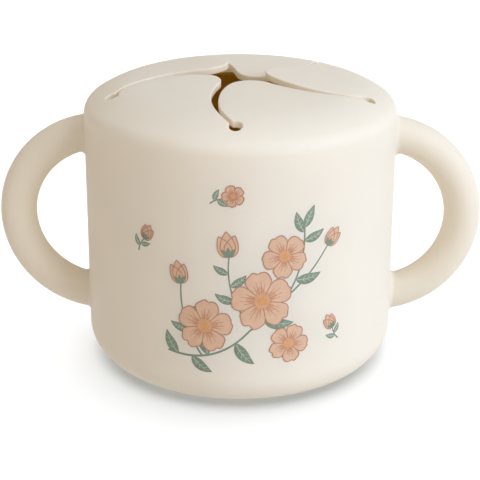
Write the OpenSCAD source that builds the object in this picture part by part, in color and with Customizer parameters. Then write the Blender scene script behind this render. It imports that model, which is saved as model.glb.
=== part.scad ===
// Toddler snack container: a soft sleeve with two loop handles and a lid of
// five curved flaps, pulled over a rigid cup that holds the snacks.
// Millimetres. Z is up, the origin is the middle of the underside, the handles
// lie along X and the front faces -Y.

/* [Body] */
// Outer diameter of the sleeve at the top of its straight wall
body_top_d = 88; // [72:0.5:108]
// Outer diameter of the sleeve at the bottom of its straight wall
body_base_d = 89; // [72:0.5:110]
// Height of the top of the straight wall
wall_top_z = 72.4; // [58:0.2:90]
// Thickness of the soft sleeve, its lid and its flaps
sleeve_t = 1.9; // [1.5:0.1:2.4]

/* [Base] */
// Radius of the rounding under the straight wall
base_round_r = 9.2; // [7:0.2:11.2]
// Width of the flat band of the lip that turns in under the cup
lip_w = 2; // [1:0.2:4]
// Height of the lip's underside above what the cup stands on
lip_lift = 0.3; // [0.2:0.1:0.6]

/* [Shoulder and lid] */
// Radius of the rounded edge between wall and lid
edge_r = 4.6; // [3.6:0.1:6]
// Slope of the lid where the rounded edge ends, in degrees
edge_slope = 33; // [26:1:38]
// Radius of the sloping band inside the rounded edge
band_r = 29.3; // [24:0.5:35]
// Slope of the lid where the band meets the crown, in degrees
crown_slope = 8; // [5:0.5:11]

/* [Slits and flaps] */
// Distance from the wall in to the middle of each round slit end
slit_end_inset = 6.7; // [6:0.1:8.4]
// Diameter of each round slit end
slit_end_d = 3.8; // [3:0.2:4.8]
// Width of a slit where it leaves its round end
slit_w = 1.4; // [1:0.1:1.8]
// Radius of the mouth that the flaps leave open in the middle
mouth_r = 7; // [5.6:0.1:8.6]
// Radius of the nose of a flap
nose_r = 7.1; // [5.8:0.1:8.6]
// Turn of the nose from the middle of its flap, in degrees
nose_lean = 21.8; // [18:0.2:25]
// Lean of a flap's bulging edge as it leaves its slit end, in degrees
bulge_lean = 44; // [36:0.5:48]
// Lean of a flap's hollow edge as it leaves its slit end, in degrees
hollow_lean = 41; // [38:0.5:50]
// Turn of the whole slit pattern about the upright axis, in degrees
slit_turn = -1.2; // [-6:0.2:6]
// Radius of the rounded root on which a flap bends
root_r = 3; // [2.6:0.1:3.4]
// Gap round the root of a flap
root_gap = 0.3; // [0.2:0.05:0.4]

/* [Handles] */
// Thickness of a handle
handle_d = 10.4; // [9:0.2:13.6]
// Distance of a loop's middle inside the wall
loop_inset = 4.3; // [2:0.1:8]
// Straight wall left above and below the roots of a handle
root_margin = 1.8; // [0.6:0.1:4]

/* [Rigid cup] */
// Wall thickness of the cup
cup_t = 1.5; // [1.2:0.1:2]
// Gap between the cup and the sleeve
cup_gap = 0.3; // [0.2:0.05:0.4]
// Depth of the cup's rim below the top of the straight wall
cup_rim_drop = 0; // [0:0.2:10]
// Width of the ring that the cup stands on
foot_w = 1.8; // [1.4:0.1:3]

/* [Hidden] */
$fn = 96;

cream = "#E7E0D0";
cup_amber = "#D6A333";

top_r = body_top_d / 2;
base_r = body_base_d / 2;

// The flaps share the lid evenly; flap 0 is at the front right and they count
// anticlockwise seen from above. Slit end A starts a flap and slit end B ends it.
flaps = 5;
flap_step = 360 / flaps;
slit_a = -90;
slit_b = slit_a + flap_step;
flap_mid = (slit_a + slit_b) / 2;

slit_end_r = slit_end_d / 2;
slit_ring_r = top_r - slit_end_inset;
chord_half = slit_ring_r * sin(flap_step / 2);
chord_in = slit_ring_r * cos(flap_step / 2);
root_half = chord_half - slit_end_r;

// Section of the lid, as middle points [radius, height] of its three arcs
edge_c = [top_r - edge_r, wall_top_z];
edge_dir = [sin(edge_slope), cos(edge_slope)];
band_c = edge_c + (edge_r - band_r) * edge_dir;
band_rim = band_c + band_r * edge_dir;
crown_dir = [sin(crown_slope), cos(crown_slope)];
crown_rim = band_c + band_r * crown_dir;
crown_r = crown_rim.x / crown_dir.x;
crown_c = [0, crown_rim.y - crown_r * crown_dir.y];
lid_top_z = crown_c.y + crown_r;

// Straight wall and the rounding under it
wall_base_z = lip_lift + base_round_r;
round_c = [base_r - base_round_r, wall_base_z];

// Handle loop: its middle is halfway up the straight wall
wall_h = wall_top_z - wall_base_z;
loop_half = wall_h / 2 - root_margin - handle_d / 2;
loop_r = sqrt(loop_half * loop_half + loop_inset * loop_inset);
loop_z = wall_base_z + wall_h / 2;

// Rigid cup: it follows the inside of the sleeve
cup_corner_r = base_round_r - sleeve_t - cup_gap;
cup_base_z = wall_base_z - cup_corner_r;
cup_rim_z = wall_top_z - cup_rim_drop;
cup_rim_r = top_r + (base_r - top_r) * cup_rim_drop / wall_h - sleeve_t - cup_gap;
foot_r = round_c.x - lip_w - cup_gap;

// Longer than anything that it cuts
reach = 2 * body_base_d;

function polar(r, a) = r * [cos(a), sin(a)];
function arc(c, r, a0, a1, steps) = [for (i = [0:steps]) c + polar(r, a0 + (a1 - a0) * i / steps)];
function tail(list) = [for (i = [1:len(list) - 1]) list[i]];
function backwards(list) = [for (i = [len(list) - 1:-1:0]) list[i]];

// Direction from p to q, from 0 up to 360 degrees
function heading(p, q) = (atan2(q.y - p.y, q.x - p.x) + 360) % 360;

// Height of the lid's outer face at a radius
function on_arc(c, r, x) = c.y + sqrt(r * r - (x - c.x) * (x - c.x));
function lid_z(x) = x > band_rim.x ? on_arc(edge_c, edge_r, x)
    : x > crown_rim.x ? on_arc(band_c, band_r, x)
    : on_arc(crown_c, crown_r, x);

// Upright section line of the lid, this far inside its outer face
function lid_line(inset) = concat(
    arc(edge_c, edge_r - inset, 0, 90 - edge_slope, 6),
    tail(arc(band_c, band_r - inset, 90 - edge_slope, 90 - crown_slope, 6)),
    tail(arc(crown_c, crown_r - inset, 90 - crown_slope, 90, 4)));

// Section line of the rounding, from the wall down to the flat band of the lip
function round_line(inset) = arc(round_c, base_round_r - inset, 0, -90, 8);

// Height of the line on which the flaps bend: halfway between the middle of
// the skin at the middle of a root and at its ends
bend_z = (lid_z(chord_in) + lid_z(slit_ring_r) - sleeve_t) / 2;

// Plan point at a place along the bend and a distance from it towards the mouth
function root_at(along, inward) = polar(chord_in - inward, flap_mid) + polar(along, flap_mid + 90);

// Radius of an edge that starts at this place from the middle of the nose, has
// its own middle in this direction, and meets the nose from round it (side 1)
// or from beside it (side -1) without a corner
function edge_radius(from_nose, dir, side) =
    (nose_r * nose_r - from_nose * from_nose) / (2 * (from_nose * dir + side * nose_r));

// Plan of a flap: bulging edge from slit end A, nose, hollow edge to slit end B
end_a = polar(slit_ring_r, slit_a);
end_b = polar(slit_ring_r, slit_b);
nose_c = polar(mouth_r + nose_r, flap_mid - nose_lean);
lead_start = end_a + polar(slit_w / 2, slit_a + 90);
lead_dir = polar(1, slit_a + 90 + bulge_lean);
lead_r = edge_radius(lead_start - nose_c, lead_dir, 1);
lead_c = lead_start + lead_r * lead_dir;
trail_end = end_b + polar(slit_w / 2, slit_b - 90);
trail_dir = polar(1, slit_b + 90 + hollow_lean);
trail_r = edge_radius(trail_end - nose_c, trail_dir, -1);
trail_c = trail_end + trail_r * trail_dir;
flap_plan = concat(
    arc(lead_c, lead_r, heading(lead_c, lead_start), heading(lead_c, nose_c), 12),
    tail(arc(nose_c, nose_r, heading(lead_c, nose_c), heading(nose_c, trail_c), 10)),
    tail(arc(trail_c, trail_r, heading(trail_c, nose_c), heading(trail_c, trail_end), 12)),
    [root_at(root_half, -slit_w / 4), root_at(root_half, -root_r)],
    [root_at(-root_half, -root_r), root_at(-root_half, -slit_w / 4)]);

// Turns a flap drawn at the front right to its place in the ring
module at_flap(number) {
    rotate([0, 0, number * flap_step + slit_turn]) children();
}

// Frame of a flap's root: X runs along the bend, Y points in to the mouth
module at_root() {
    rotate([0, 0, flap_mid]) translate([chord_in, 0, bend_z]) rotate([0, 0, 90]) children();
}

module slit_end() {
    rotate([0, 0, slit_a]) translate([slit_ring_r, 0, bend_z - reach / 2]) {
        cylinder(r = slit_end_r, h = reach);
    }
}

// Round bar along the bend, of this radius and half length
module root_bar(r, half) {
    at_root() rotate([0, 90, 0]) cylinder(r = r, h = 2 * half, center = true);
}

// Everything on the mouth's side of the bend, and the round root
module root_envelope() {
    at_root() translate([-reach, 0, -reach / 2]) cube([2 * reach, reach, reach]);
    root_bar(root_r, root_half);
}

module lid_skin() {
    rotate_extrude() polygon(concat(lid_line(0), backwards(lid_line(sleeve_t))));
}

module flap(number) {
    color(cream) at_flap(number) difference() {
        intersection() {
            lid_skin();
            root_envelope();
            linear_extrude(2 * lid_top_z) polygon(flap_plan);
        }
        slit_end();
        rotate([0, 0, flap_step]) slit_end();
    }
}

module outer_sleeve() {
    outer = concat([[base_r, wall_base_z]], lid_line(0));
    inner = concat([[base_r - sleeve_t, wall_base_z]], lid_line(sleeve_t));
    corners = [for (i = [0:flaps - 1]) polar(slit_ring_r, slit_a + i * flap_step)];
    color(cream) difference() {
        rotate_extrude() polygon(concat(outer, backwards(inner)));
        rotate([0, 0, slit_turn]) translate([0, 0, wall_top_z - edge_r]) {
            linear_extrude(reach) polygon(corners);
        }
        for (i = [0:flaps - 1]) at_flap(i) {
            slit_end();
            root_bar(root_r + root_gap, root_half + root_gap);
        }
    }
}

// The rounding at the foot of the sleeve and the lip that holds the cup in
module base_lip() {
    lip_in = round_c.x - lip_w;
    outer = concat(round_line(0), [[lip_in, lip_lift]]);
    inner = concat(round_line(sleeve_t), [[lip_in, lip_lift + sleeve_t]]);
    color(cream) rotate_extrude() polygon(concat(outer, backwards(inner)));
}

module body_envelope() {
    line = concat(backwards(round_line(0)), lid_line(0));
    rotate_extrude() polygon(concat([[0, lip_lift]], line));
}

module handle(side) {
    color(cream) difference() {
        translate([side * (top_r - loop_inset), 0, loop_z]) rotate([90, 0, 0]) {
            rotate_extrude() translate([loop_r, 0]) circle(d = handle_d);
        }
        body_envelope();
    }
}

module inner_cup() {
    corner_in_r = cup_corner_r - cup_t;
    rim_c = [cup_rim_r - cup_t / 2, cup_rim_z - cup_t / 2];
    outside = concat(
        [[0, cup_base_z], [foot_r - foot_w, cup_base_z], [foot_r - foot_w, 0]],
        [[foot_r, 0], [foot_r, cup_base_z]],
        arc(round_c, cup_corner_r, -90, 0, 8),
        arc(rim_c, cup_t / 2, 0, 180, 6));
    inside = concat(arc(round_c, corner_in_r, 0, -90, 8), [[0, cup_base_z + cup_t]]);
    color(cup_amber) rotate_extrude() polygon(concat(outside, inside));
}

inner_cup();
outer_sleeve();
base_lip();
handle(-1);  // left_handle
handle(1);  // right_handle
flap(0);  // front_right_flap
flap(1);  // right_flap
flap(2);  // rear_flap
flap(3);  // left_flap
flap(4);  // front_left_flap
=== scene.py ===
"""Looks of the toddler snack container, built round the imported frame.

Lengths in the plan functions are millimetres in the model's frame; meshes are
made in metres. Every curved surface has exact normals, so the lid's five flaps
and the sleeve they belong to shade as the one moulding that they are.
"""

import math
import random

import bpy
import numpy as np
from mathutils import Matrix, Vector
from mathutils.geometry import delaunay_2d_cdt


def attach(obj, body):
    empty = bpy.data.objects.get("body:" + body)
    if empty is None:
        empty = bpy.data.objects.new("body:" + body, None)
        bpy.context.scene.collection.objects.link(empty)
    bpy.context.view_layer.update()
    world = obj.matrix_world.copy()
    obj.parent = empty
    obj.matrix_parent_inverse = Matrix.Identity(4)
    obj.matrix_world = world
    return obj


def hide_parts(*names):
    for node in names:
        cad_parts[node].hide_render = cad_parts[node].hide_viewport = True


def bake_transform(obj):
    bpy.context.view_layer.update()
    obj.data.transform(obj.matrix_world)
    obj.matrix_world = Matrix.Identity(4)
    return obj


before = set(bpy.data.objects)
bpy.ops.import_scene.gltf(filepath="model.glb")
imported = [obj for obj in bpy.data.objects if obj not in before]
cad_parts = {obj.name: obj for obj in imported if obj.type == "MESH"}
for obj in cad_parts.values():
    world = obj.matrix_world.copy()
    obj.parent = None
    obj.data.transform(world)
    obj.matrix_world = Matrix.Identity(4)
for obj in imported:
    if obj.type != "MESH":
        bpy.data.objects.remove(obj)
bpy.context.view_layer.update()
MM = 0.001

# ---------------------------------------------------------------- sizes, in mm
TOP_R, BASE_R, WALL_TOP, SKIN = 44.0, 44.5, 72.4, 1.9
ROUND_R, LIP_W, LIP_LIFT = 9.2, 2.0, 0.3
EDGE_R, EDGE_SLOPE, BAND_R, CROWN_SLOPE = 4.6, 33.0, 29.3, 8.0
HOLE_IN, HOLE_R, SLIT_W = 6.7, 1.8, 1.4
MOUTH_R, NOSE_R, NOSE_LEAN = 7.0, 7.1, 21.8
BULGE_LEAN, HOLLOW_LEAN, PATTERN_TURN = 44.0, 41.0, -1.2
HANDLE_R, LOOP_INSET, LOOP_R = 5.2, 4.3, 24.825
LOOP_Z, WALL_BASE = 40.95, 9.5
CUP_T, CUP_GAP, CUP_RIM_DROP, FOOT_W = 1.5, 0.3, 0.0, 1.8
FLAPS = ["front_right_flap", "right_flap", "rear_flap", "left_flap", "front_left_flap"]
# How far each flap's nose stands above or below the lid's own curve, and how
# much more it does so for each millimetre across the flap
NOSE_RISE = [(-0.1, 0.0), (1.0, 0.0), (-2.7, -0.09), (1.05, 0.0), (0.0, 0.0)]
STEP = 72.0
SLIT_A, SLIT_B, FLAP_MID = -90.0, -18.0, -54.0
LID_OUT = 41.0        # radius where the flap pieces end and the sleeve piece begins
EDGE_SOFT = 0.32      # rounding of every cut edge of the skin
CORNER_SOFT = 0.8     # rounding in plan of the corners beside a hole
LIP_SOFT = 0.5        # rounding of the lip's and the cup foot's edges
SHIFT_FADE = 2.2      # width inside LID_OUT over which the small shifts end
FLAP_NET = 1.0        # spacing of the inner points of a flap


# ------------------------------------------------------------- plan geometry
def polar(r, degrees):
    a = math.radians(degrees)
    return np.array([r * math.cos(a), r * math.sin(a)])


def heading(p, q):
    return math.degrees(math.atan2(q[1] - p[1], q[0] - p[0])) % 360


RING_R = TOP_R - HOLE_IN
CHORD_IN = RING_R * math.cos(math.radians(STEP / 2))
EDGE_C = np.array([TOP_R - EDGE_R, WALL_TOP])
EDGE_DIR = np.array([math.sin(math.radians(EDGE_SLOPE)), math.cos(math.radians(EDGE_SLOPE))])
BAND_C = EDGE_C + (EDGE_R - BAND_R) * EDGE_DIR
BAND_RIM = BAND_C + BAND_R * EDGE_DIR
CROWN_DIR = np.array([math.sin(math.radians(CROWN_SLOPE)), math.cos(math.radians(CROWN_SLOPE))])
CROWN_RIM = BAND_C + BAND_R * CROWN_DIR
CROWN_R = CROWN_RIM[0] / CROWN_DIR[0]
CROWN_Z = CROWN_RIM[1] - CROWN_R * CROWN_DIR[1]
ROUND_C = np.array([BASE_R - ROUND_R, WALL_BASE])


def lid_height(r):
    """Height of the lid's outer face at a radius, and its slope."""
    r = np.asarray(r, float)
    cx = np.where(r > BAND_RIM[0], EDGE_C[0], np.where(r > CROWN_RIM[0], BAND_C[0], 0.0))
    cz = np.where(r > BAND_RIM[0], EDGE_C[1], np.where(r > CROWN_RIM[0], BAND_C[1], CROWN_Z))
    rad = np.where(r > BAND_RIM[0], EDGE_R, np.where(r > CROWN_RIM[0], BAND_R, CROWN_R))
    up = np.sqrt(np.maximum(rad ** 2 - (r - cx) ** 2, 1e-6))
    return cz + up, -(r - cx) / up


def turned(v, degrees):
    a = math.radians(degrees)
    return v @ np.array([[math.cos(a), math.sin(a)], [-math.sin(a), math.cos(a)]])


def settled(plan, k):
    """Plan points of flap k after the small shifts that this lid shows."""
    turn = k * STEP + PATTERN_TURN
    w = turned(plan, turn)
    for flap, place, radius, shift in SHIFTS:
        if flap in (None, k):
            near = np.maximum(1 - ((w - place) ** 2).sum(1) / radius ** 2, 0) ** 2
            rim = np.clip((LID_OUT - np.hypot(*w.T)) / SHIFT_FADE, 0, 1)
            w = w + np.outer(near * rim * rim * (3 - 2 * rim), shift)
    return turned(w, -turn)


def lid_surface(plan, k):
    """Points of the lid over flap k's plan points, all in flap 0's frame, their
    normals and the skin's upright thickness there."""
    plan = settled(plan, k)
    x, y = plan[:, 0], plan[:, 1]
    r = np.maximum(np.hypot(x, y), 1e-6)
    z, slope = lid_height(r)
    gx, gy = slope * x / r, slope * y / r
    mid = polar(1, FLAP_MID)
    inward = np.maximum(CHORD_IN - plan @ mid, 0)
    side = polar(1, FLAP_MID + 90)
    reach = CHORD_IN - MOUTH_R * math.cos(math.radians(NOSE_LEAN))
    rise, twist = NOSE_RISE[k]
    full = rise + twist * (plan @ side)
    z = z + full * (inward / reach) ** 2
    lift = -2 * full * inward / reach ** 2
    across = twist * (inward / reach) ** 2
    gx, gy = gx + lift * mid[0] + across * side[0], gy + lift * mid[1] + across * side[1]
    n = np.stack([-gx, -gy, np.ones_like(gx)], 1)
    size = np.linalg.norm(n, axis=1, keepdims=True)
    return np.column_stack([x, y, z]), n / size, SKIN * size[:, 0]


def meet(p, rp, q, rq, near):
    """Of the two points at rp from p and rq from q, the one nearer to near."""
    d = np.linalg.norm(q - p)
    u = (q - p) / d
    along = (rp * rp - rq * rq + d * d) / (2 * d)
    side = math.sqrt(max(rp * rp - along * along, 0)) * np.array([-u[1], u[0]])
    both = [p + along * u + side, p + along * u - side]
    return min(both, key=lambda c: np.linalg.norm(c - near))


def edge_radius(from_nose, direction, side):
    return ((NOSE_R ** 2 - from_nose @ from_nose)
            / (2 * (from_nose @ direction + side * NOSE_R)))


HOLE_A, HOLE_B = polar(RING_R, SLIT_A), polar(RING_R, SLIT_B)
NOSE_C = polar(MOUTH_R + NOSE_R, FLAP_MID - NOSE_LEAN)
lead_from = HOLE_A + polar(SLIT_W / 2, SLIT_A + 90)
lead_dir = polar(1, SLIT_A + 90 + BULGE_LEAN)
LEAD_R = edge_radius(lead_from - NOSE_C, lead_dir, 1)
LEAD_C = lead_from + LEAD_R * lead_dir
trail_from = HOLE_B + polar(SLIT_W / 2, SLIT_B - 90)
trail_dir = polar(1, SLIT_B + 90 + HOLLOW_LEAN)
TRAIL_R = edge_radius(trail_from - NOSE_C, trail_dir, -1)
TRAIL_C = trail_from + TRAIL_R * trail_dir
SOFT_A = meet(HOLE_A, HOLE_R + CORNER_SOFT, LEAD_C, LEAD_R - CORNER_SOFT,
              HOLE_A + polar(HOLE_R, SLIT_A + 205))
SOFT_B = meet(HOLE_B, HOLE_R + CORNER_SOFT, TRAIL_C, TRAIL_R + CORNER_SOFT,
              HOLE_B + polar(HOLE_R, SLIT_B - 115))

# Small ways in which this lid differs from its even pattern, in the model's
# frame: the flap (None for all), place, radius of effect and shift
SHIFTS = [
    (None, polar(RING_R, SLIT_A + PATTERN_TURN), 7.0, (-0.2, 0.4)),
    (None, polar(RING_R, SLIT_B + PATTERN_TURN), 7.0, (-0.35, 0.2)),
    (None, polar(RING_R, SLIT_B + STEP + PATTERN_TURN), 6.0, (0.55, 0.75)),
    (None, polar(RING_R, SLIT_A - STEP + PATTERN_TURN), 7.0, (1.0, 0.0)),
    (0, (-5.0, -19.5), 12.0, (0.55, 0.0)),
    (4, (-5.5, -8.0), 7.0, (-0.3, 0.0)),
    (4, (-20.0, -3.0), 15.0, (0.05, -0.35)),
    (1, polar(34.5, SLIT_B + STEP + PATTERN_TURN), 5.0, (-0.36, 0.27)),
    (2, polar(34.5, SLIT_B + STEP + PATTERN_TURN), 5.0, (0.36, -0.27)),
]

# The free edge of a flap piece, from hole A's outer side round to hole B's:
# middle, radius, first and last direction, turn (1 anticlockwise) and spacing
EDGE_ARCS = [
    (HOLE_A, HOLE_R, SLIT_A, heading(HOLE_A, SOFT_A), 1, 0.32),
    (SOFT_A, CORNER_SOFT, heading(SOFT_A, HOLE_A), heading(LEAD_C, SOFT_A), -1, 0.2),
    (LEAD_C, LEAD_R, heading(LEAD_C, SOFT_A), heading(LEAD_C, NOSE_C), -1, 0.45),
    (NOSE_C, NOSE_R, heading(LEAD_C, NOSE_C), heading(NOSE_C, TRAIL_C), -1, 0.4),
    (TRAIL_C, TRAIL_R, heading(TRAIL_C, NOSE_C), heading(TRAIL_C, SOFT_B), 1, 0.45),
    (SOFT_B, CORNER_SOFT, heading(SOFT_B, TRAIL_C), heading(SOFT_B, HOLE_B), -1, 0.2),
    (HOLE_B, HOLE_R, heading(HOLE_B, SOFT_B), SLIT_B, 1, 0.32),
]


def free_edge(inset):
    """Plan points of the free edge moved in by inset, and the way out of the
    skin at each."""
    points, ways = [], []
    for c, r, a0, a1, turn, spacing in EDGE_ARCS:
        span = (a1 - a0) * turn % 360
        steps = max(3, round(math.radians(span) * r / spacing))
        radius = r + inset if turn > 0 else r - inset
        for i in range(0 if not points else 1, steps + 1):
            a = a0 + turn * span * i / steps
            points.append(c + polar(radius, a))
            ways.append(-turn * polar(1, a))
    return np.array(points), np.array(ways)


# ---------------------------------------------------------------- mesh tools
def piece(name, verts, faces, normals, material):
    """A mesh object from millimetre points, with exact normals. Each face is
    wound to look the way its normals do."""
    v, n = np.asarray(verts, float), np.asarray(normals, float)
    n = n / np.maximum(np.linalg.norm(n, axis=1, keepdims=True), 1e-9)
    first = np.array([[f[0], f[1], f[2], f[-1]] for f in faces])
    out = np.cross(v[first[:, 2]] - v[first[:, 0]], v[first[:, 3]] - v[first[:, 1]])
    flat = first[:, 2] == first[:, 3]
    out[flat] = np.cross(v[first[flat, 1]] - v[first[flat, 0]], v[first[flat, 2]] - v[first[flat, 0]])
    agree = (out * n[first].sum(1)).sum(1) > 0
    faces = [f if good else f[::-1] for f, good in zip(faces, agree)]
    me = bpy.data.meshes.new(name)
    me.from_pydata((v * MM).tolist(), [], [list(f) for f in faces])
    me.shade_smooth()
    me.normals_split_custom_set_from_vertices(n.tolist())
    me.materials.append(material)
    ob = bpy.data.objects.new(name, me)
    bpy.context.scene.collection.objects.link(ob)
    return ob


def grid_faces(rows, cols, first=0, wrap=False):
    out = []
    for i in range(rows - 1):
        for j in range(cols if wrap else cols - 1):
            a, b = first + i * cols + j, first + i * cols + (j + 1) % cols
            out.append((a, b, b + cols, a + cols))
    return out


def rotate_z(v, degrees):
    a = math.radians(degrees)
    turn = np.array([[math.cos(a), math.sin(a), 0], [-math.sin(a), math.cos(a), 0], [0, 0, 1]])
    return v @ turn


def arc_line(c, r, a0, a1, steps, sign=1):
    """Points of an upright section arc, with normals out of it or into it."""
    a = np.radians(np.linspace(a0, a1, steps + 1))
    d = np.column_stack([np.cos(a), np.sin(a)])
    return np.asarray(c) + r * d, sign * d


def straight(p, q, steps, normal):
    t = np.linspace(0, 1, steps + 1)[:, None]
    return np.asarray(p) * (1 - t) + np.asarray(q) * t, np.tile(normal, (steps + 1, 1))


def joined(*parts):
    pts, nrm = [parts[0][0]], [parts[0][1]]
    for p, n in parts[1:]:
        pts.append(p[1:])
        nrm.append(n[1:])
    return np.vstack(pts), np.vstack(nrm)


def lathe(name, points, normals, angles, material):
    """Turns a section, [radius, height] and normal, about the upright axis."""
    a = np.radians(angles)
    ca, sa = np.cos(a), np.sin(a)
    v = np.vstack([np.column_stack([p[0] * ca, p[0] * sa, np.full_like(ca, p[1])]) for p in points])
    n = np.vstack([np.column_stack([q[0] * ca, q[0] * sa, np.full_like(ca, q[1])]) for q in normals])
    faces = grid_faces(len(points), len(a), wrap=True)
    if points[0][0] < 1e-6:
        # Both ends lie on the axis: each row of points there becomes one point
        m, last = len(a), len(v) - len(a)
        shrink = lambda i: 0 if i < m else min(i, last) - m + 1
        faces = [tuple(dict.fromkeys(shrink(i) for i in f)) for f in faces]
        keep = [0] + list(range(m, last + 1))
        v, n = v[keep], n[keep]
    return piece(name, v, faces, n, material)


# ------------------------------------------------------------------ materials
def material(name, colour, roughness):
    m = bpy.data.materials.new(name)
    m.use_nodes = True
    nt = m.node_tree
    bsdf = nt.nodes["Principled BSDF"]
    bsdf.inputs["Base Color"].default_value = (*colour, 1)
    bsdf.inputs["Roughness"].default_value = roughness
    return m, nt, bsdf


def noise(nt, scale, detail=2.0, rough=0.5):
    coords = nt.nodes.get("place") or nt.nodes.new("ShaderNodeTexCoord")
    coords.name = "place"
    n = nt.nodes.new("ShaderNodeTexNoise")
    n.inputs["Scale"].default_value = scale
    n.inputs["Detail"].default_value = detail
    n.inputs["Roughness"].default_value = rough
    nt.links.new(coords.outputs["Object"], n.inputs["Vector"])
    return n.outputs["Fac"]


def ramp(nt, value, stops):
    r = nt.nodes.new("ShaderNodeValToRGB")
    r.color_ramp.elements[0].position = stops[0][0]
    r.color_ramp.elements[0].color = (*stops[0][1], 1)
    r.color_ramp.elements[1].position = stops[-1][0]
    r.color_ramp.elements[1].color = (*stops[-1][1], 1)
    for at, colour in stops[1:-1]:
        e = r.color_ramp.elements.new(at)
        e.color = (*colour, 1)
    nt.links.new(value, r.inputs["Fac"])
    return r.outputs["Color"]


def remap(nt, value, low, high):
    m = nt.nodes.new("ShaderNodeMapRange")
    m.inputs["From Min"].default_value = 0.3
    m.inputs["From Max"].default_value = 0.7
    m.inputs["To Min"].default_value = low
    m.inputs["To Max"].default_value = high
    nt.links.new(value, m.inputs["Value"])
    return m.outputs["Result"]


def bump(nt, bsdf, value, strength, distance):
    b = nt.nodes.new("ShaderNodeBump")
    b.inputs["Strength"].default_value = strength
    b.inputs["Distance"].default_value = distance
    nt.links.new(value, b.inputs["Height"])
    nt.links.new(b.outputs["Normal"], bsdf.inputs["Normal"])


SILICONE = (0.85, 0.785, 0.66)        # where it is solid
SKIN_SILICONE = (0.93, 0.885, 0.775)  # where it is thin and light goes through
THROUGH = (0.98, 0.90, 0.76)          # light that has gone through the skin
CUT_PAINTED_GLOW = (1.0, 0.945, 0.84)              # the lid's cut faces, paler than the skin: a painted glow
CUT_PAINTED_BOUNCE = (0.90, 0.72, 0.52)         # down the cut: painted warm light bounced from the cup
INSIDE = (0.72, 0.40, 0.03)           # the cup


def light_through(nt, bsdf, share):
    """Some of the light goes in, and through the skin to the cup."""
    through = nt.nodes.new("ShaderNodeBsdfTranslucent")
    through.inputs["Color"].default_value = (*THROUGH, 1)
    both = nt.nodes.new("ShaderNodeMixShader")
    both.inputs["Fac"].default_value = share
    nt.links.new(bsdf.outputs[0], both.inputs[1])
    nt.links.new(through.outputs[0], both.inputs[2])
    nt.links.new(both.outputs[0], nt.nodes["Material Output"].inputs["Surface"])


def silicone_material(name, colour, share_through):
    """Matte moulded silicone: faint clouding, a fine etched grain and a soft
    sheen at grazing angles. In the thin skin some light goes through."""
    m, nt, bsdf = material(name, colour, 0.6)
    cloud = noise(nt, 55, 3)
    tone = ramp(nt, cloud, [(0.3, tuple(c * 0.985 for c in colour)),
                            (0.7, tuple(c * 1.012 for c in colour))])
    nt.links.new(tone, bsdf.inputs["Base Color"])
    nt.links.new(remap(nt, noise(nt, 260, 2), 0.55, 0.66), bsdf.inputs["Roughness"])
    bump(nt, bsdf, noise(nt, 5200, 2, 0.6), 0.12, 0.00006)
    bsdf.inputs["Specular IOR Level"].default_value = 0.36
    bsdf.inputs["Sheen Weight"].default_value = 0.06
    bsdf.inputs["Sheen Roughness"].default_value = 0.5
    bsdf.inputs["Sheen Tint"].default_value = (1.0, 0.98, 0.94, 1)
    light_through(nt, bsdf, share_through)
    return m


def cut_material():
    """A cut face of the skin: smoother than the moulded face, finely uneven,
    paler than the skin as a painted glow, and warmer further down as painted
    warm light bounced from the cup. Some more light comes out through it."""
    m, nt, bsdf = material("cream_silicone_cut", CUT_PAINTED_GLOW, 0.34)
    depth = nt.nodes.new("ShaderNodeAttribute")
    depth.attribute_name = "cut_depth"
    # Colour by depth down the cut: a painted glow at the top, painted warm light bounced from the cup lower
    # down
    middle = tuple((a + b) / 2 for a, b in zip(CUT_PAINTED_GLOW, CUT_PAINTED_BOUNCE))
    tone = ramp(nt, depth.outputs["Fac"], [(0.1, CUT_PAINTED_GLOW), (0.55, middle), (0.95, CUT_PAINTED_BOUNCE)])
    nt.links.new(tone, bsdf.inputs["Base Color"])
    nt.links.new(remap(nt, noise(nt, 1500, 2), 0.3, 0.4), bsdf.inputs["Roughness"])
    bump(nt, bsdf, noise(nt, 2400, 2), 0.08, 0.00004)
    bsdf.inputs["Specular IOR Level"].default_value = 0.5
    light_through(nt, bsdf, 0.4)
    return m


def cup_material():
    """Amber moulded plastic, a little clouded and finely scuffed. It looks
    brown in the shade under the lid."""
    m, nt, bsdf = material("cup_plastic", INSIDE, 0.38)
    tone = ramp(nt, noise(nt, 40, 3), [(0.3, tuple(c * 0.93 for c in INSIDE)),
                                       (0.7, tuple(c * 1.05 for c in INSIDE))])
    nt.links.new(tone, bsdf.inputs["Base Color"])
    nt.links.new(remap(nt, noise(nt, 700, 4, 0.65), 0.32, 0.46), bsdf.inputs["Roughness"])
    bump(nt, bsdf, noise(nt, 2600, 2), 0.10, 0.00005)
    return m


def ink_material(name, colour, low, high):
    """Matte ink on the silicone, with a slightly uneven lay."""
    m, nt, bsdf = material(name, colour, 0.62)
    tone = ramp(nt, noise(nt, 420, 4, 0.6), [(0.3, tuple(c * low for c in colour)),
                                             (0.7, tuple(min(1, c * high) for c in colour))])
    nt.links.new(tone, bsdf.inputs["Base Color"])
    nt.links.new(remap(nt, noise(nt, 900, 2), 0.56, 0.68), bsdf.inputs["Roughness"])
    bump(nt, bsdf, noise(nt, 5200, 2, 0.6), 0.10, 0.00005)
    bsdf.inputs["Specular IOR Level"].default_value = 0.34
    return m


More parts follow.
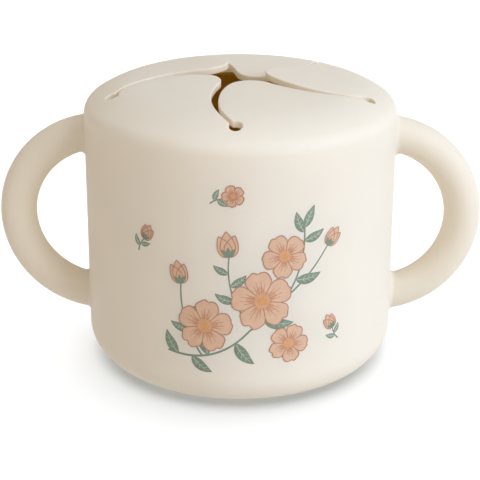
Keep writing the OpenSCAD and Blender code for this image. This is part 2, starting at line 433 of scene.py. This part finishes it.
silicone = silicone_material("cream_silicone", SILICONE, 0.19)
skin_silicone = silicone_material("cream_silicone_skin", SKIN_SILICONE, 0.28)
cut_silicone = cut_material()
plastic = cup_material()
petal_ink = ink_material("petal_ink", (0.70, 0.45, 0.30), 0.93, 1.05)
blush_ink = ink_material("blush_ink", (0.66, 0.36, 0.22), 0.92, 1.05)
vein_ink = ink_material("vein_ink", (0.47, 0.53, 0.41), 0.92, 1.06)
line_ink = ink_material("line_ink", (0.45, 0.225, 0.14), 0.9, 1.08)
leaf_ink = ink_material("leaf_ink", (0.20, 0.255, 0.18), 0.88, 1.12)
centre_ink = ink_material("centre_ink", (0.66, 0.33, 0.13), 0.9, 1.08)


# ------------------------------------------------------------------ lid flaps
def inside(poly, pts):
    """Whether each point lies inside a closed plan polygon."""
    x, y = pts[:, 0], pts[:, 1]
    hit = np.zeros(len(pts), bool)
    px, py = poly[:, 0], poly[:, 1]
    qx, qy = np.roll(px, -1), np.roll(py, -1)
    for x0, y0, x1, y1 in zip(px, py, qx, qy):
        cross = (y0 > y) != (y1 > y)
        if cross.any():
            at = x0 + (y - y0) / (y1 - y0 + 1e-12) * (x1 - x0)
            hit ^= cross & (x < at)
    return hit


def fill_plan(outline, spacing, rng):
    """Triangles over a closed plan outline (anticlockwise), with inner points
    on a slightly uneven triangular net."""
    low, high = outline.min(0), outline.max(0)
    net = []
    for j, y in enumerate(np.arange(low[1], high[1], spacing * 0.866)):
        for x in np.arange(low[0] + (j % 2) * spacing / 2, high[0], spacing):
            net.append((x + rng.uniform(-0.05, 0.05), y + rng.uniform(-0.05, 0.05)))
    net = np.array(net)
    net = net[inside(outline, net)]
    far = np.array([np.min(np.hypot(*(outline - p).T)) for p in net])
    net = net[far > spacing * 0.55]
    everything = np.vstack([outline, net])
    made, _, tris, came, _, _ = delaunay_2d_cdt(
        [Vector(p) for p in everything], [], [list(range(len(outline)))], 1, 1e-7)
    index = [c[0] for c in came]
    faces = [tuple(index[i] for i in t) for t in tris]
    area = lambda f: np.cross(everything[f[1]] - everything[f[0]],
                              everything[f[2]] - everything[f[0]])
    return everything, [f if area(f) > 0 else f[::-1] for f in faces]


TOP_ROWS, WALL_ROWS = 5, 3
OUT_STEPS, SEAM_STEPS = 96, 3
FLAP_SEED, INK_SEED = 5, 3


def flap_plan():
    """Plan points of a flap piece, free edge first, the triangles over them and
    how many of the points are on the free edge."""
    edge, _ = free_edge(EDGE_SOFT)
    seam_in = RING_R + HOLE_R + EDGE_SOFT
    out_b = [polar(r, SLIT_B) for r in np.linspace(seam_in, LID_OUT, SEAM_STEPS + 1)[1:]]
    rim = [polar(LID_OUT, a) for a in np.linspace(SLIT_B, SLIT_A, OUT_STEPS + 1)[1:]]
    out_a = [polar(r, SLIT_A) for r in np.linspace(LID_OUT, seam_in, SEAM_STEPS + 1)[1:-1]]
    outline = np.vstack([edge, out_b, rim, out_a])
    # Seen from above this order runs clockwise, so it is turned round
    points, faces = fill_plan(outline[::-1], FLAP_NET, random.Random(FLAP_SEED))
    n = len(outline)
    back = np.arange(len(points))
    back[:n] = n - 1 - np.arange(n)
    points = np.vstack([outline, points[n:]])
    faces = [tuple(int(back[i]) for i in f) for f in faces]
    return points, faces, len(edge)


PLAN, PLAN_FACES, EDGE_COUNT = flap_plan()


def make_flap(k):
    """One flap with its part of the lid, out to the seam with the sleeve."""
    top, top_n, thick = lid_surface(PLAN, k)
    under = top - np.column_stack([0 * thick, 0 * thick, thick])
    verts, normals = [top, under], [top_n, -top_n]
    count = len(PLAN)
    faces = list(PLAN_FACES) + [tuple(i + count for i in f[::-1]) for f in PLAN_FACES]
    rows = [np.arange(EDGE_COUNT)]
    total = 2 * count
    # Rows down the cut: inset in plan, share of the rounding spent, how much
    # of the level part of the thickness is passed, and turn of the normal
    profile = []
    deep = [np.zeros(count), np.ones(count)]
    for b in np.linspace(0, math.pi / 2, TOP_ROWS + 1)[1:]:
        profile.append((EDGE_SOFT * (1 - math.sin(b)), 1 - math.cos(b), 0.0, b))
    for t in np.linspace(0, 1, WALL_ROWS + 1)[1:]:
        profile.append((0.0, 1.0, t, math.pi / 2))
    for b in np.linspace(math.pi / 2, math.pi, TOP_ROWS + 1)[1:-1]:
        profile.append((EDGE_SOFT * (1 - math.sin(b)), 1.0 - math.cos(b), 1.0, b))
    for inset, spent, level, turn in profile:
        plan, way = free_edge(inset)
        p, n, t = lid_surface(plan, k)
        depth = EDGE_SOFT * spent + (t - 2 * EDGE_SOFT) * level
        p = p - np.column_stack([0 * t, 0 * t, depth])
        deep.append(depth / t)
        flat = np.column_stack([way, 0 * t])
        verts.append(p)
        normals.append(math.cos(turn) * n + math.sin(turn) * flat)
        rows.append(np.arange(total, total + EDGE_COUNT))
        total += EDGE_COUNT
    rows.append(np.arange(count, count + EDGE_COUNT))
    for a, b in zip(rows, rows[1:]):
        for i in range(EDGE_COUNT - 1):
            faces.append((int(a[i]), int(b[i]), int(b[i + 1]), int(a[i + 1])))
    turn = k * STEP + PATTERN_TURN
    v = rotate_z(np.vstack(verts), turn)
    n = rotate_z(np.vstack(normals), turn)
    ob = piece("lid_" + FLAPS[k], v, faces, n, skin_silicone)
    ob.data.materials.append(cut_silicone)
    for face in ob.data.polygons[2 * len(PLAN_FACES):]:
        face.material_index = 1
    # How far down the cut each point lies; the cut material paints warm light bounced from the cup by it
    cut_depth = ob.data.attributes.new("cut_depth", "FLOAT", "POINT")
    cut_depth.data.foreach_set("value", np.concatenate(deep))
    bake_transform(ob)
    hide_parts(FLAPS[k])


for number in range(len(FLAPS)):
    make_flap(number)


# --------------------------------------------------- sleeve: wall, foot, inside
def sleeve_section():
    """Closed round from the lid's seam out, down the wall, under the lip and
    back up the inside."""
    lip_in = ROUND_C[0] - LIP_W
    z_out, slope = (float(v) for v in lid_height(LID_OUT))
    tilt = math.degrees(math.atan2(LID_OUT - BAND_C[0], z_out - BAND_C[1]))
    upright = SKIN * math.hypot(1, slope)
    soft = LIP_SOFT
    wall_n = np.array([WALL_TOP - WALL_BASE, BASE_R - TOP_R])
    wall_n = wall_n / np.linalg.norm(wall_n)
    pts, nrm = joined(
        arc_line(BAND_C, BAND_R, 90 - tilt, 90 - EDGE_SLOPE, 3),
        arc_line(EDGE_C, EDGE_R, 90 - EDGE_SLOPE, 0, 14),
        straight((TOP_R, WALL_TOP), (BASE_R, WALL_BASE), 28, wall_n),
        arc_line(ROUND_C, ROUND_R, 0, -90, 18),
        straight((ROUND_C[0], LIP_LIFT), (lip_in + soft, LIP_LIFT), 3, (0, -1)),
        arc_line((lip_in + soft, LIP_LIFT + soft), soft, -90, -180, 5),
        straight((lip_in, LIP_LIFT + soft), (lip_in, LIP_LIFT + SKIN - soft), 2, (-1, 0)),
        arc_line((lip_in + soft, LIP_LIFT + SKIN - soft), soft, 180, 90, 5),
        straight((lip_in + soft, LIP_LIFT + SKIN), (ROUND_C[0], LIP_LIFT + SKIN), 2, (0, 1)),
        arc_line(ROUND_C, ROUND_R - SKIN, -90, 0, 12, -1),
        straight((BASE_R - SKIN, WALL_BASE), (TOP_R - SKIN, WALL_TOP), 14, -wall_n),
        arc_line(EDGE_C, EDGE_R - SKIN, 0, 90 - EDGE_SLOPE, 8, -1),
    )
    last = np.array([[LID_OUT, z_out - upright]])
    n_last = -np.array([[LID_OUT - BAND_C[0], z_out - BAND_C[1]]]) / BAND_R
    return np.vstack([pts, last]), np.vstack([nrm, n_last])


around = OUT_STEPS * len(FLAPS)
columns = np.arange(around) * (360.0 / around) + SLIT_A + PATTERN_TURN
line, line_n = sleeve_section()
sleeve = lathe("sleeve_skin", line, line_n, columns[::-1], skin_silicone)
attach(sleeve, "sleeve")
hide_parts("outer_sleeve", "base_lip")


# -------------------------------------------------------------------- handles
FILLET, ROOT_SUNK = 1.5, 0.3          # at the handle's root; how far it goes into the wall
TUBE_COLS, TUBE_ROWS, FILLET_ROWS = 96, 120, 9


def wall_radius(z):
    return BASE_R + (TOP_R - BASE_R) * (z - WALL_BASE) / (WALL_TOP - WALL_BASE)


def make_handle(name, side):
    """A loop of round section that runs into the wall with a small fillet."""
    mid = np.array([TOP_R - LOOP_INSET, 0.0, LOOP_Z])

    def ring(angle, section, radius):
        """Point on a tube of this radius and the way out of it."""
        out = np.array([math.cos(angle), 0, math.sin(angle)])
        way = math.cos(section) * out + math.sin(section) * np.array([0, 1.0, 0])
        return mid + LOOP_R * out + radius * way, way

    def root(section, sign):
        """Loop angle at which a ball of the fillet's size rests on both."""
        low, high = math.radians(60), math.radians(130)
        for _ in range(50):
            a = (low + high) / 2
            p, _ = ring(sign * a, section, HANDLE_R + FILLET)
            if math.hypot(p[0], p[1]) > wall_radius(p[2]) + FILLET:
                low = a
            else:
                high = a
        return sign * (low + high) / 2

    verts, normals = [], []
    for j in range(TUBE_COLS):
        section = 2 * math.pi * j / TUBE_COLS
        ends = root(section, 1), root(section, -1)
        lines = []
        for angle in ends:
            c, way = ring(angle, section, HANDLE_R + FILLET)
            to_wall = -np.array([c[0], c[1], 0]) / math.hypot(c[0], c[1])
            to_tube = -way
            gap = math.acos(float(np.clip(to_wall @ to_tube, -1, 1)))
            pts, nrm = [], []
            sunk = c + to_wall * (FILLET + ROOT_SUNK)
            pts.append(sunk)
            nrm.append(-to_wall)
            for i in range(FILLET_ROWS):
                t = i / FILLET_ROWS
                d = (math.sin((1 - t) * gap) * to_wall + math.sin(t * gap) * to_tube) / math.sin(gap)
                pts.append(c + FILLET * d)
                nrm.append(-d)
            lines.append((pts, nrm))
        pts, nrm = list(lines[0][0]), list(lines[0][1])
        for i in range(TUBE_ROWS + 1):
            a = ends[0] + (ends[1] - ends[0]) * i / TUBE_ROWS
            p, way = ring(a, section, HANDLE_R)
            pts.append(p)
            nrm.append(way)
        pts += lines[1][0][::-1]
        nrm += lines[1][1][::-1]
        verts.append(pts)
        normals.append(nrm)
    v = np.array(verts).transpose(1, 0, 2).reshape(-1, 3)
    n = np.array(normals).transpose(1, 0, 2).reshape(-1, 3)
    rows = len(verts[0])
    faces = grid_faces(rows, TUBE_COLS, wrap=True)
    if side < 0:
        v, n = v * [-1, 1, 1], n * [-1, 1, 1]
    ob = piece(name + "_loop", v, faces, n, silicone)
    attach(ob, "sleeve")
    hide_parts(name)
    return ob


HANDLES = [make_handle("right_handle", 1), make_handle("left_handle", -1)]


# ------------------------------------------------------------------ rigid cup
def cup_section():
    corner = ROUND_R - SKIN - CUP_GAP
    base_z = WALL_BASE - corner
    rim_z = WALL_TOP - CUP_RIM_DROP
    rim_r = wall_radius(rim_z) - SKIN - CUP_GAP
    foot = ROUND_C[0] - LIP_W - CUP_GAP
    soft = LIP_SOFT
    h = CUP_T / 2
    wall_n = np.array([rim_z - WALL_BASE, BASE_R - TOP_R])
    wall_n = wall_n / np.linalg.norm(wall_n)
    return joined(
        straight((0, base_z), (foot - FOOT_W - soft, base_z), 10, (0, -1)),
        arc_line((foot - FOOT_W - soft, base_z - soft), soft, 90, 0, 4),
        straight((foot - FOOT_W, base_z - soft), (foot - FOOT_W, soft), 2, (-1, 0)),
        arc_line((foot - FOOT_W + soft, soft), soft, 180, 270, 4),
        straight((foot - FOOT_W + soft, 0), (foot - soft, 0), 1, (0, -1)),
        arc_line((foot - soft, soft), soft, -90, 0, 4),
        straight((foot, soft), (foot, base_z), 3, (1, 0)),
        straight((foot, base_z), (ROUND_C[0], base_z), 3, (0, -1)),
        arc_line(ROUND_C, corner, -90, 0, 12),
        straight((ROUND_C[0] + corner, WALL_BASE), (rim_r, rim_z - h), 20, wall_n),
        arc_line((rim_r - h, rim_z - h), h, 0, 180, 10),
        straight((rim_r - CUP_T, rim_z - h), (ROUND_C[0] + corner - CUP_T, WALL_BASE), 20, -wall_n),
        arc_line(ROUND_C, corner - CUP_T, 0, -90, 12, -1),
        straight((ROUND_C[0], base_z + CUP_T), (0, base_z + CUP_T), 14, (0, 1)),
    )


line, line_n = cup_section()
cup = lathe("rigid_cup", line, line_n, np.arange(0, 360, 1.25), plastic)
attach(cup, "cup")
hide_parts("inner_cup")


# -------------------------------------------------------------- printed sprigs
INK_UNDER = 0.06      # how far an ink slab goes into the wall


class Ink:
    """Thin slabs of one ink on the wall, gathered into one piece. Points are
    [distance round the front, height]."""

    def __init__(self, name, mat, lift):
        self.name, self.mat, self.lift = name, mat, lift
        self.v, self.n, self.f = [], [], []

    def onto(self, pts, lift):
        pts = np.asarray(pts, float)
        r = wall_radius(pts[:, 1])
        a = pts[:, 0] / r
        lean = np.full(len(a), (BASE_R - TOP_R) / (WALL_TOP - WALL_BASE))
        out = np.column_stack([np.sin(a), -np.cos(a), lean])
        n = out / np.linalg.norm(out, axis=1, keepdims=True)
        return np.column_stack([np.sin(a) * r, -np.cos(a) * r, pts[:, 1]]) + n * lift, n

    def slab(self, pts, faces, rim, layer):
        """A closed slab over these points; rim is the ring of outer points."""
        m, base = len(pts), sum(len(v) for v in self.v)
        for lift, sign in ((self.lift + layer, 1), (-INK_UNDER, -1)):
            v, n = self.onto(pts, lift)
            self.v.append(v)
            self.n.append(sign * n)
        self.f += [tuple(base + i for i in f) for f in faces]
        self.f += [tuple(base + m + i for i in f[::-1]) for f in faces]
        v, n = self.onto(pts[rim], self.lift + layer)
        w, _ = self.onto(pts[rim], -INK_UNDER)
        start, c = base + 2 * m, len(rim)
        along = np.roll(v, -1, 0) - np.roll(v, 1, 0)
        side = np.cross(along, n)
        self.v += [v, w]
        self.n += [side + 4 * n * np.linalg.norm(side, axis=1, keepdims=True)] * 2
        self.f += [(start + i, start + c + i, start + c + (i + 1) % c, start + (i + 1) % c)
                   for i in range(c)]

    def patch(self, outline, spacing=1.5, layer=0.0):
        outline = np.asarray(outline, float)
        x, y = outline.T
        if np.sum(x * np.roll(y, -1) - y * np.roll(x, -1)) < 0:
            outline = outline[::-1]
        pts, faces = fill_plan(outline, spacing, random.Random(INK_SEED))
        self.slab(pts, faces, np.arange(len(outline)), layer)

    def stroke(self, pts, width, layer=0.0, closed=False):
        """A line of ink; width is one number or one for each point."""
        pts = np.asarray(pts, float)
        if closed:
            way = np.roll(pts, -1, 0) - np.roll(pts, 1, 0)
        else:
            way = np.gradient(pts, axis=0)
        way /= np.linalg.norm(way, axis=1, keepdims=True)
        off = np.column_stack([-way[:, 1], way[:, 0]]) * (np.broadcast_to(width, len(pts)) / 2)[:, None]
        m = len(pts)
        both = np.vstack([pts - off, pts + off])
        last = m if closed else m - 1
        faces = [(i, (i + 1) % m, m + (i + 1) % m, m + i) for i in range(last)]
        if closed:
            self.slab(both, faces, np.arange(m), layer)
        else:
            self.slab(both, faces, np.concatenate([np.arange(m), m + np.arange(m)[::-1]]), layer)

    def finish(self):
        ob = piece(self.name, np.vstack(self.v), self.f, np.vstack(self.n), self.mat)
        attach(ob, "sleeve")


petals = Ink("print_petals", petal_ink, 0.07)
blush = Ink("print_blush", blush_ink, 0.092)
lines = Ink("print_lines", line_ink, 0.112)
leaves = Ink("print_leaves", leaf_ink, 0.03)
veins = Ink("print_veins", vein_ink, 0.05)
middles = Ink("print_middles", centre_ink, 0.13)


def bow(p, q, bend, steps=14):
    """Points of a gentle curve from p to q, bulging by bend to the left."""
    p, q = np.asarray(p, float), np.asarray(q, float)
    t = np.linspace(0, 1, steps + 1)[:, None]
    left = np.array([-(q - p)[1], (q - p)[0]]) / np.linalg.norm(q - p)
    return p * (1 - t) + q * t + left * (4 * bend * t * (1 - t))


def leaf(base, angle, length, width, bend=0.0):
    """A pointed leaf with a paler midrib and short side veins."""
    tip = np.asarray(base) + polar(length, angle)
    rib = bow(base, tip, bend * length, 16)
    t = np.linspace(0, 1, len(rib))
    half = width / 2 * np.sin(np.pi * t ** 0.8) ** 0.9
    way = np.gradient(rib, axis=0)
    way /= np.linalg.norm(way, axis=1, keepdims=True)
    off = np.column_stack([-way[:, 1], way[:, 0]]) * half[:, None]
    leaves.patch(np.vstack([rib + off, (rib - off)[-2:0:-1]]), 1.0)
    veins.stroke(rib[1:-2], np.linspace(0.26, 0.12, len(rib) - 3))
    for i in range(4, len(rib) - 4, 3):
        for sign in (1, -1):
            end = rib[i + 2] + sign * off[i] * 0.62
            veins.stroke(bow(rib[i], end, 0.0, 3), 0.13)


def stem(p, q, bend, width=0.5):
    line = bow(p, q, bend, 24)
    leaves.stroke(line, np.linspace(width, width * 0.7, len(line)), layer=0.008)
    return line


def blossom(centre, size, turn, petals_in=5):
    """An open flower seen from the front: notched petals with fine lines from
    a dotted middle."""
    centre = np.asarray(centre, float)
    step = 360 / petals_in
    rim = []
    for k in range(petals_in):
        mid = turn + k * step
        for u in np.linspace(-0.5, 0.5, 25)[:-1]:
            swell = 0.58 + 0.42 * math.cos(math.pi * u) ** 0.42
            notch = 0.075 * math.exp(-(u / 0.07) ** 2)
            ruffle = 0.018 * math.sin(k * 2.1 + u * 19)
            rim.append(centre + polar(size * (swell - notch + ruffle), mid + u * step))
    rim = np.array(rim)
    petals.patch(rim, 1.1)
    lines.stroke(rim, 0.26, closed=True)
    heart = [centre + polar(size * (0.40 + 0.10 * math.cos(math.radians(petals_in * (a - turn)))), a)
             for a in np.arange(0, 360, 8)]
    blush.patch(heart, 1.1)
    for k in range(petals_in):
        mid = turn + k * step
        between = mid + step / 2
        lines.stroke(bow(centre + polar(size * 0.24, between), centre + polar(size * 0.66, between), 0.0, 5),
                     np.linspace(0.26, 0.2, 6))
        for lean, far in ((-17, 0.60), (-6, 0.72), (7, 0.70), (18, 0.58)):
            near, tip = polar(size * 0.26, mid + lean * 0.8), polar(size * far, mid + lean)
            lines.stroke(bow(centre + near, centre + tip, size * 0.012 * (1 if lean > 0 else -1), 7),
                         np.linspace(0.2, 0.07, 8))
    middles.patch([centre + polar(size * 0.15, a) for a in range(0, 360, 15)], 0.7)
    for k in range(11):
        a = turn + k * 360 / 11
        dot = centre + polar(size * (0.25 + 0.035 * math.sin(k * 2.4)), a)
        middles.patch([dot + polar(size * 0.036, b) for b in range(0, 360, 40)], 0.7)


def bud(base, angle, size):
    """A closed bud on its calyx, in three overlapping petals."""
    base = np.asarray(base, float)

    def drop(width, length, lean):
        rib = bow(base, base + polar(length, angle + lean), 0.0, 14)
        t = np.linspace(0, 1, len(rib))
        half = width / 2 * np.sin(np.pi * t ** 0.72) ** 0.8
        side = polar(1, angle + lean + 90)
        return np.vstack([rib + np.outer(half, side), (rib - np.outer(half, side))[-2:0:-1]])

    outer = [(0.55, 0.95, 20, 0.0), (0.55, 0.95, -20, 0.004), (0.6, 1.08, 0, 0.008)]
    for width, length, lean, layer in outer:
        shape = drop(width * size, length * size, lean)
        petals.patch(shape, 1.2, layer)
        lines.stroke(shape, 0.22, closed=True)
    for lean in (-38, 0, 38):
        leaves.patch(drop(0.2 * size, 0.42 * size, lean), 1.0, 0.095)


# One loose crescent that climbs from the lower left, and three small strays
main = np.vstack([bow((-19.5, 17.0), (3.0, 24.5), -3.6, 26),
                  bow((3.0, 24.5), (17.5, 52.5), -4.6, 30)[1:]])
leaves.stroke(main, np.linspace(0.62, 0.4, len(main)), layer=0.008)
for at, angle, length, width, bend in (
        (3, 118, 7.2, 3.0, 0.10), (7, -38, 7.0, 2.9, -0.10), (12, 98, 8.2, 3.3, 0.08),
        (21, -52, 8.0, 3.2, -0.10), (30, -8, 8.2, 3.3, -0.08), (36, 128, 7.8, 3.1, 0.10),
        (43, 8, 7.4, 3.0, -0.10), (48, 138, 7.0, 2.8, 0.10), (53, 24, 6.2, 2.5, -0.08),
        (55, 112, 6.4, 2.6, 0.08), (56, 66, 6.6, 2.5, 0.0)):
    leaf(main[at], angle, length, width, bend)
side = stem(main[10], (-15.5, 37.0), 1.8)
leaf(side[9], 160, 5.4, 2.3, 0.08)
leaf(side[14], 40, 5.2, 2.2, -0.08)
bud((-15.5, 37.0), 100, 6.0)
side = stem(main[27], (-2.5, 45.5), 2.4)
leaf(side[10], 158, 5.8, 2.4, 0.10)
leaf(side[15], 38, 5.4, 2.3, -0.08)
leaf(side[19], 150, 4.6, 2.0, 0.08)
bud((-2.5, 45.5), 96, 6.6)
side = stem(main[38], (24.5, 46.5), -0.8)
bud((24.5, 46.5), 52, 5.2)
blossom((-9.0, 25.5), 7.6, 82)
blossom((6.2, 33.0), 8.4, 100)
blossom((13.6, 20.0), 5.6, 64)
blossom((12.2, 45.2), 6.2, 118)
stem((8.0, 26.5), (13.0, 21.0), 0.4)

strays = [((-26.5, 47.5), 62, "bud"), ((-3.5, 61.5), 20, "open"), ((27.0, 22.0), 118, "bud")]
for (s0, z0), lean, kind in strays:
    foot = np.array([s0, z0]) - polar(4.2, lean)
    short = stem(foot, (s0, z0), 0.4, 0.38)
    leaf(short[8], lean + 48, 3.4, 1.5, 0.08)
    leaf(short[13], lean - 52, 3.2, 1.4, -0.08)
    if kind == "bud":
        bud((s0, z0), lean, 4.4)
    else:
        blossom(np.array([s0, z0]) + polar(2.2, lean), 3.0, lean + 20)

for ink in (petals, blush, lines, leaves, veins, middles):
    ink.finish()


# ------------------------------------------------------------ floor and lights
def plane(name, size, z, mat):
    me = bpy.data.meshes.new(name)
    s = size / 2
    me.from_pydata([(-s, -s, z), (s, -s, z), (s, s, z), (-s, s, z)], [], [(0, 1, 2, 3)])
    me.materials.append(mat)
    ob = bpy.data.objects.new(name, me)
    bpy.context.scene.collection.objects.link(ob)
    return ob


def camera_rays(nt):
    """1 for rays that show the background: camera, mirror and glass rays."""
    path = nt.nodes.new("ShaderNodeLightPath")
    first = nt.nodes.new("ShaderNodeMath")
    first.operation = "MAXIMUM"
    nt.links.new(path.outputs["Is Camera Ray"], first.inputs[0])
    nt.links.new(path.outputs["Is Glossy Ray"], first.inputs[1])
    second = nt.nodes.new("ShaderNodeMath")
    second.operation = "MAXIMUM"
    nt.links.new(first.outputs[0], second.inputs[0])
    nt.links.new(path.outputs["Is Transmission Ray"], second.inputs[1])
    return second.outputs[0]


def floor_material():
    """Pale matte floor. What is seen of it is white where nothing shades it,
    with the object's shadow. Rays that light the object see an even glow in
    its place, which the object doesn't shade."""
    m = bpy.data.materials.new("floor")
    m.use_nodes = True
    nt = m.node_tree
    nt.nodes.remove(nt.nodes["Principled BSDF"])
    lit = nt.nodes.new("ShaderNodeBsdfDiffuse")
    lit.inputs["Color"].default_value = (*FLOOR_COLOUR, 1)
    glow = nt.nodes.new("ShaderNodeEmission")
    glow.inputs["Color"].default_value = (*FLOOR_GLOW, 1)
    seen = nt.nodes.new("ShaderNodeAddShader")
    nt.links.new(lit.outputs[0], seen.inputs[0])
    nt.links.new(glow.outputs[0], seen.inputs[1])
    bounce = nt.nodes.new("ShaderNodeEmission")
    bounce.inputs["Color"].default_value = (*FLOOR_BOUNCE, 1)
    pick = nt.nodes.new("ShaderNodeMixShader")
    nt.links.new(camera_rays(nt), pick.inputs["Fac"])
    nt.links.new(bounce.outputs[0], pick.inputs[1])
    nt.links.new(seen.outputs[0], pick.inputs[2])
    nt.links.new(pick.outputs[0], nt.nodes["Material Output"].inputs["Surface"])
    return m


FLOOR_COLOUR = (0.80, 0.80, 0.80)
FLOOR_GLOW = (0.0, 0.05, 0.08)         # makes up for the warm room light on it
FLOOR_BOUNCE = (0.745, 0.715, 0.69)
FLOOR_SIZE = 8.0                       # in metres
ROOM_LEVEL, ROOM_TINT = 0.37, (1.0, 0.82, 0.723)
KEY_LEVEL, KEY_TINT = 0.55, (0.90, 1.0, 1.163)
RIM_LEVEL, RIM_TINT = 0.166, (0.65, 1.0, 1.57)
LID_LEVEL, LID_TINT = 0.235, (0.89, 1.0, 1.02)
TABLE_LEVEL, TABLE_TINT = 1.27, (1.0, 1.0, 1.0)
floor = plane("floor", FLOOR_SIZE, 0.0, floor_material())

world = bpy.data.worlds.new("studio")
bpy.context.scene.world = world
world.use_nodes = True
nt = world.node_tree
shade = nt.nodes["Background"]
shade.inputs["Color"].default_value = (*ROOM_TINT, 1)
shade.inputs["Strength"].default_value = ROOM_LEVEL
white = nt.nodes.new("ShaderNodeBackground")
white.inputs["Color"].default_value = (1, 1, 1, 1)
white.inputs["Strength"].default_value = 1.0
pick = nt.nodes.new("ShaderNodeMixShader")
nt.links.new(camera_rays(nt), pick.inputs["Fac"])
nt.links.new(shade.outputs[0], pick.inputs[1])
nt.links.new(white.outputs[0], pick.inputs[2])
nt.links.new(pick.outputs[0], nt.nodes["World Output"].inputs["Surface"])


def soft_sun(name, azimuth, elevation, spread, level, colour):
    """Even light from one direction, as from a wide softbox a long way off.
    Azimuth is counted from the front towards the right."""
    data = bpy.data.lights.new(name, "SUN")
    data.energy = level * math.pi
    data.angle = math.radians(spread)
    data.color = colour
    ob = bpy.data.objects.new(name, data)
    a, e = math.radians(azimuth - 90), math.radians(elevation)
    way = Vector((math.cos(a) * math.cos(e), math.sin(a) * math.cos(e), math.sin(e)))
    ob.location = way
    ob.rotation_euler = way.to_track_quat("Z", "Y").to_euler()
    bpy.context.scene.collection.objects.link(ob)
    return ob


def light_floor(lamp, state):
    """The lamp lights the floor alone (INCLUDE) or all but it (EXCLUDE)."""
    group = bpy.data.collections.new(lamp.name + "_floor")
    group.objects.link(floor)
    lamp.light_linking.receiver_collection = group
    group.collection_objects[0].light_linking.link_state = state


light_floor(soft_sun("key_right", 53, 27, 40, KEY_LEVEL, KEY_TINT), "EXCLUDE")
light_floor(soft_sun("rim_right", 75, 25, 40, RIM_LEVEL, RIM_TINT), "EXCLUDE")
light_floor(soft_sun("lid_top", 0, 78, 60, LID_LEVEL, LID_TINT), "EXCLUDE")
table = soft_sun("table_top", 152, 80, 96, TABLE_LEVEL, TABLE_TINT)
light_floor(table, "INCLUDE")
# The photograph shows the body's close shadow but none of the loops, so this
# lamp passes them
unseen = bpy.data.collections.new("table_top_passes")
for loop in HANDLES:
    unseen.objects.link(loop)
table.light_linking.blocker_collection = unseen
for held in unseen.collection_objects:
    held.light_linking.link_state = "EXCLUDE"

# --------------------------------------------------------------------- camera
EYE_TURN, EYE_TILT, EYE_DISTANCE, EYE_LENS = 0.43, 21.59, 371.7, 95.03
AIM_DROP, ROLL = 0.541, 0.18
cam_data = bpy.data.cameras.new("camera")
cam_data.lens = EYE_LENS
cam_data.sensor_width = 36.0
cam_data.clip_start, cam_data.clip_end = 0.01, 20
cam = bpy.data.objects.new("camera", cam_data)
bpy.context.scene.collection.objects.link(cam)
tilt = math.radians(EYE_TILT)
place = Vector((0, -EYE_DISTANCE * math.cos(tilt), WALL_TOP / 2 + EYE_DISTANCE * math.sin(tilt))) * MM
look = math.radians(EYE_TILT + AIM_DROP)
forward = Vector((0, math.cos(look), -math.sin(look)))
turn = forward.to_track_quat("-Z", "Y").to_matrix() @ Matrix.Rotation(math.radians(ROLL), 3, "Z")
round_object = Matrix.Rotation(math.radians(EYE_TURN), 4, "Z")
cam.matrix_world = round_object @ Matrix.Translation(place) @ turn.to_4x4()
bpy.context.scene.camera = cam

scene = bpy.context.scene
scene.view_settings.view_transform = "Standard"
